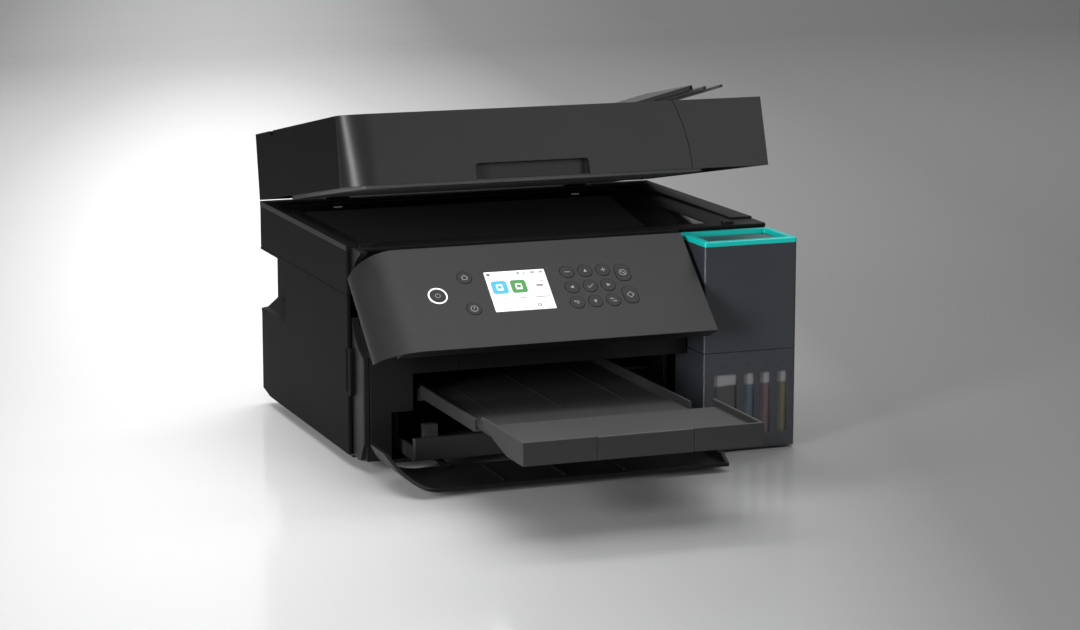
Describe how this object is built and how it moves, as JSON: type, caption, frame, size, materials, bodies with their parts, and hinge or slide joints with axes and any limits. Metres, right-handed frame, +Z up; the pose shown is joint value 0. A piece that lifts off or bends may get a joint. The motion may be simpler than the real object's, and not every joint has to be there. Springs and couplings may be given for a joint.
{
  "type": "inkjet printer",
  "caption": "Inkjet printer with refillable tanks, flat-bed scanner, document feeder, tilting control panel and extended trays.",
  "frame": {"origin": "on the resting plane of the feet, midway across the body and along its side covers", "axes": "+X to the printer's right seen from the front, +Y to the rear, +Z up"},
  "size_m": [0.3758, 0.5685, 0.2951],
  "materials": {
    "case_plastic": "fine moulded texture, charcoal",
    "side_plastic": "coarse matt moulded texture",
    "frame_plastic": "smooth dark moulding",
    "panel_plastic": "satin grey-black moulding",
    "tank_plastic": "satin blue-black moulding",
    "gloss_black": "polished black moulding",
    "glass": "flat plate glass, glossy",
    "teal_trim": "satin teal moulding",
    "ink_tank": "translucent moulding",
    "cap_rubber": "moulded rubber",
    "foot_rubber": "matt rubber",
    "roller_rubber": "ground rubber",
    "belt_rubber": "toothed belt",
    "key_plastic": "satin key",
    "power_key_plastic": "satin key with a pale ring",
    "screen": "lit screen behind a clear face",
    "pad_white": "white pressure pad",
    "mechanism_plastic": "grey acetal",
    "steel": "ground steel",
    "supply_case": "black case",
    "tray_plastic": "fine textured dark moulding"
  },
  "bodies": {
    "body": {"base_chassis": "frame_plastic", "left_side_cover": "side_plastic", "right_side_cover": "side_plastic", "rear_panel": "side_plastic", "rubber_feet": "foot_rubber", "front_frame": "frame_plastic", "power_supply": "supply_case", "ac_inlet": "supply_case", "carriage_rail": "steel", "drive_belt": "belt_rubber", "carriage_motor": "steel", "tank_housing": "tank_plastic", "ink_tanks": "ink_tank", "tank_caps": "cap_rubber", "output_tray_base": "tray_plastic"},
    "duplex_unit": {"duplex_cover": "side_plastic"},
    "carriage": {"print_carriage": "mechanism_plastic"},
    "pulley": {"drive_pulley": "mechanism_plastic"},
    "feed_shaft": {"feed_roller": "roller_rubber"},
    "cassette": {"paper_cassette": "tray_plastic"},
    "guide_left": {"cassette_guide_left": "mechanism_plastic"},
    "guide_right": {"cassette_guide_right": "mechanism_plastic"},
    "guide_end": {"cassette_end_guide": "mechanism_plastic"},
    "tray_middle": {"output_tray_middle": "tray_plastic"},
    "tray_front": {"output_tray_front": "tray_plastic"},
    "stop": {"paper_stop": "tray_plastic"},
    "door": {"front_door": "frame_plastic"},
    "panel": {"control_panel": "panel_plastic", "panel_screen": "screen"},
    "tank_lid": {"tank_cover": "tank_plastic", "tank_trim": "teal_trim"},
    "scanner": {"scanner_housing": "side_plastic", "scanner_top_frame": "gloss_black", "scanner_glass": "glass", "lid_hinges": "frame_plastic"},
    "scan_head": {"scan_bar": "mechanism_plastic"},
    "lid": {"lid_base": "side_plastic", "lid_front_cover": "case_plastic", "lid_right_cover": "case_plastic", "lid_pad": "pad_white"},
    "feeder_cover": {"adf_cover": "case_plastic"},
    "feeder_roller": {"adf_roller": "roller_rubber"},
    "paper_fence": {"document_guide": "mechanism_plastic"},
    "feeder_tray": {"document_tray": "case_plastic"},
    "leaf_middle": {"document_leaf_middle": "mechanism_plastic"},
    "leaf_end": {"document_leaf_end": "mechanism_plastic"},
    "power_key_cap": {"power_key": "power_key_plastic"},
    "home_key_cap": {"home_key": "key_plastic"},
    "help_key_cap": {"help_key": "key_plastic"},
    "pad_key_1_cap": {"pad_key_1": "key_plastic"},
    "pad_key_2_cap": {"pad_key_2": "key_plastic"},
    "pad_key_3_cap": {"pad_key_3": "key_plastic"},
    "pad_key_4_cap": {"pad_key_4": "key_plastic"},
    "pad_key_5_cap": {"pad_key_5": "key_plastic"},
    "pad_key_6_cap": {"pad_key_6": "key_plastic"},
    "pad_key_7_cap": {"pad_key_7": "key_plastic"},
    "pad_key_8_cap": {"pad_key_8": "key_plastic"},
    "pad_key_9_cap": {"pad_key_9": "key_plastic"},
    "stop_key_cap": {"stop_key": "key_plastic"},
    "start_key_cap": {"start_key": "key_plastic"}
  },
  "joints": [
    {"name": "duplex_pull", "type": "slide", "parent": "body", "child": "duplex_unit", "axis": [0, 1, 0], "range_m": [0, 0.06]},
    {"name": "carriage_travel", "type": "slide", "parent": "body", "child": "carriage", "axis": [-1, 0, 0], "range_m": [0, 0.165]},
    {"name": "pulley_spin", "type": "hinge", "parent": "body", "child": "pulley", "pos_m": [0.088, 0.0605, 0.12], "axis": [0, 0, 1], "range_deg": [-1580, 0]},
    {"name": "feed_spin", "type": "hinge", "parent": "body", "child": "feed_shaft", "pos_m": [0, 0.062, 0.08], "axis": [1, 0, 0], "continuous": true},
    {"name": "cassette_pull", "type": "slide", "parent": "body", "child": "cassette", "axis": [0, -1, 0], "range_m": [0, 0.18]},
    {"name": "guide_left_slide", "type": "slide", "parent": "cassette", "child": "guide_left", "axis": [1, 0, 0], "range_m": [0, 0.05]},
    {"name": "guide_right_slide", "type": "slide", "parent": "cassette", "child": "guide_right", "axis": [-1, 0, 0], "range_m": [0, 0.05]},
    {"name": "guide_end_slide", "type": "slide", "parent": "cassette", "child": "guide_end", "axis": [0, -1, 0], "range_m": [0, 0.06]},
    {"name": "tray_middle_retract", "type": "slide", "parent": "body", "child": "tray_middle", "axis": [0, 1, 0], "range_m": [0, 0.13]},
    {"name": "tray_front_retract", "type": "slide", "parent": "tray_middle", "child": "tray_front", "axis": [0, 1, 0], "range_m": [0, 0.095]},
    {"name": "stop_fold", "type": "hinge", "parent": "tray_front", "child": "stop", "pos_m": [-0.041, -0.3835, 0.062], "axis": [1, 0, 0], "range_deg": [0, 85]},
    {"name": "door_swing", "type": "hinge", "parent": "body", "child": "door", "pos_m": [-0.03, -0.1605, 0.0085], "axis": [1, 0, 0], "range_deg": [-40, 0]},
    {"name": "panel_tilt", "type": "hinge", "parent": "body", "child": "panel", "pos_m": [-0.038, -0.1434, 0.1397], "axis": [-1, 0, 0], "range_deg": [-49, 0]},
    {"name": "tank_cover_swing", "type": "hinge", "parent": "body", "child": "tank_lid", "pos_m": [0.145, -0.11, 0.1723], "axis": [-1, 0, 0], "range_deg": [0, 65]},
    {"name": "scanner_lift", "type": "hinge", "parent": "body", "child": "scanner", "pos_m": [0, 0.1643, 0.1438], "axis": [-1, 0, 0], "range_deg": [0, 30]},
    {"name": "scan_travel", "type": "slide", "parent": "scanner", "child": "scan_head", "axis": [1, 0, 0], "range_m": [0, 0.28]},
    {"name": "lid_swing", "type": "hinge", "parent": "scanner", "child": "lid", "pos_m": [0, 0.1643, 0.1851], "axis": [-1, 0, 0], "range_deg": [-10.2, 60]},
    {"name": "feeder_cover_swing", "type": "hinge", "parent": "lid", "child": "feeder_cover", "pos_m": [-0.1814, 0.04825, 0.26461], "axis": [0, -0.9842, 0.1771], "range_deg": [0, 80]},
    {"name": "feeder_roller_spin", "type": "hinge", "parent": "lid", "child": "feeder_roller", "pos_m": [-0.07, 0.03937, 0.24914], "axis": [0, 0.9842, -0.1771], "continuous": true},
    {"name": "fence_slide", "type": "slide", "parent": "lid", "child": "paper_fence", "axis": [0, 0.9842, -0.1771], "range_m": [0, 0.1]},
    {"name": "feeder_tray_fold", "type": "hinge", "parent": "lid", "child": "feeder_tray", "pos_m": [0.094, 0.02153, 0.2686], "axis": [0, -0.9842, 0.1771], "range_deg": [0, 160]},
    {"name": "leaf_middle_retract", "type": "slide", "parent": "feeder_tray", "child": "leaf_middle", "axis": [-0.9744, -0.0398, -0.2214], "range_m": [0, 0.016]},
    {"name": "leaf_end_retract", "type": "slide", "parent": "leaf_middle", "child": "leaf_end", "axis": [-0.9744, -0.0398, -0.2214], "range_m": [0, 0.018]},
    {"name": "power_key_press", "type": "slide", "parent": "panel", "child": "power_key_cap", "axis": [0, 0.6561, -0.7547], "range_m": [0, 0.0008], "stiffness_N_per_m": 600, "springref_m": -0.0005},
    {"name": "home_key_press", "type": "slide", "parent": "panel", "child": "home_key_cap", "axis": [0, 0.6561, -0.7547], "range_m": [0, 0.0008], "stiffness_N_per_m": 600, "springref_m": -0.0005},
    {"name": "help_key_press", "type": "slide", "parent": "panel", "child": "help_key_cap", "axis": [0, 0.6561, -0.7547], "range_m": [0, 0.0008], "stiffness_N_per_m": 600, "springref_m": -0.0005},
    {"name": "pad_key_1_press", "type": "slide", "parent": "panel", "child": "pad_key_1_cap", "axis": [0, 0.6561, -0.7547], "range_m": [0, 0.0008], "stiffness_N_per_m": 600, "springref_m": -0.0005},
    {"name": "pad_key_2_press", "type": "slide", "parent": "panel", "child": "pad_key_2_cap", "axis": [0, 0.6561, -0.7547], "range_m": [0, 0.0008], "stiffness_N_per_m": 600, "springref_m": -0.0005},
    {"name": "pad_key_3_press", "type": "slide", "parent": "panel", "child": "pad_key_3_cap", "axis": [0, 0.6561, -0.7547], "range_m": [0, 0.0008], "stiffness_N_per_m": 600, "springref_m": -0.0005},
    {"name": "pad_key_4_press", "type": "slide", "parent": "panel", "child": "pad_key_4_cap", "axis": [0, 0.6561, -0.7547], "range_m": [0, 0.0008], "stiffness_N_per_m": 600, "springref_m": -0.0005},
    {"name": "pad_key_5_press", "type": "slide", "parent": "panel", "child": "pad_key_5_cap", "axis": [0, 0.6561, -0.7547], "range_m": [0, 0.0008], "stiffness_N_per_m": 600, "springref_m": -0.0005},
    {"name": "pad_key_6_press", "type": "slide", "parent": "panel", "child": "pad_key_6_cap", "axis": [0, 0.6561, -0.7547], "range_m": [0, 0.0008], "stiffness_N_per_m": 600, "springref_m": -0.0005},
    {"name": "pad_key_7_press", "type": "slide", "parent": "panel", "child": "pad_key_7_cap", "axis": [0, 0.6561, -0.7547], "range_m": [0, 0.0008], "stiffness_N_per_m": 600, "springref_m": -0.0005},
    {"name": "pad_key_8_press", "type": "slide", "parent": "panel", "child": "pad_key_8_cap", "axis": [0, 0.6561, -0.7547], "range_m": [0, 0.0008], "stiffness_N_per_m": 600, "springref_m": -0.0005},
    {"name": "pad_key_9_press", "type": "slide", "parent": "panel", "child": "pad_key_9_cap", "axis": [0, 0.6561, -0.7547], "range_m": [0, 0.0008], "stiffness_N_per_m": 600, "springref_m": -0.0005},
    {"name": "stop_key_press", "type": "slide", "parent": "panel", "child": "stop_key_cap", "axis": [0, 0.6561, -0.7547], "range_m": [0, 0.0008], "stiffness_N_per_m": 600, "springref_m": -0.0005},
    {"name": "start_key_press", "type": "slide", "parent": "panel", "child": "start_key_cap", "axis": [0, 0.6561, -0.7547], "range_m": [0, 0.0008], "stiffness_N_per_m": 600, "springref_m": -0.0005}
  ],
  "couplings": [
    {"joint": "pulley_spin", "follows": "carriage_travel", "rad_per_m": -166.67},
    {"joint": "guide_right_slide", "follows": "guide_left_slide", "ratio": 1}
  ]
}
